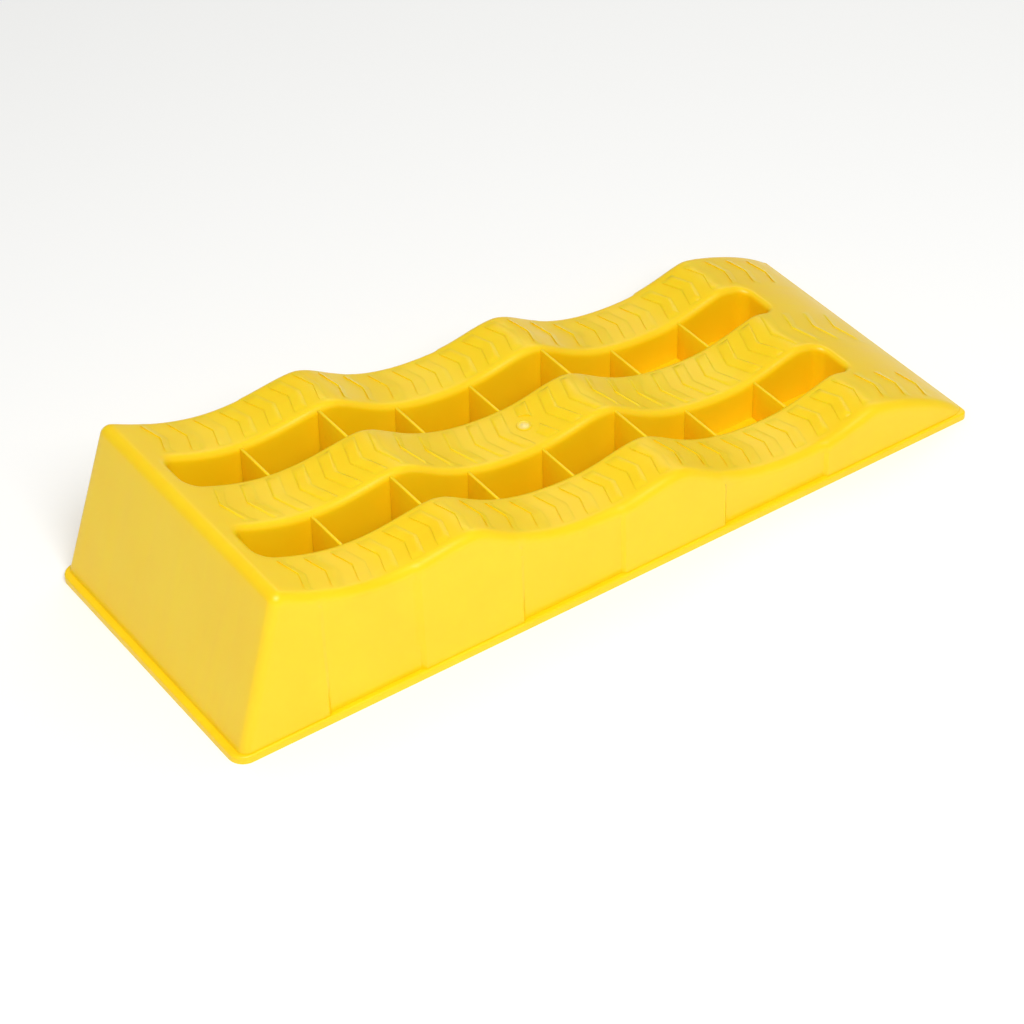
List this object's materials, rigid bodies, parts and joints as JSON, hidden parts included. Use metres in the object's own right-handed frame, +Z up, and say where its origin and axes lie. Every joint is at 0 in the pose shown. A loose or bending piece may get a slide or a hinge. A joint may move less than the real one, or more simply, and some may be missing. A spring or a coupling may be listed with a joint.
{
  "type": "wheel leveling ramp",
  "caption": "Low stepped plastic wedge with wheel cradles at rising heights, long slots with cross ribs and an open, ribbed underside, for levelling a parked caravan or motorhome.",
  "frame": {"origin": "centre of the foot's outline, on the ground", "axes": "+Z up, +X towards the low end where the wheel drives on, Y across the ramp"},
  "size_m": [0.53, 0.2016, 0.1012],
  "materials": {
    "yellow_plastic": "semi-gloss injection-moulded polyethylene, yellow all through"
  },
  "bodies": {
    "root": {"ramp_body": "yellow_plastic"}
  },
  "joints": []
}
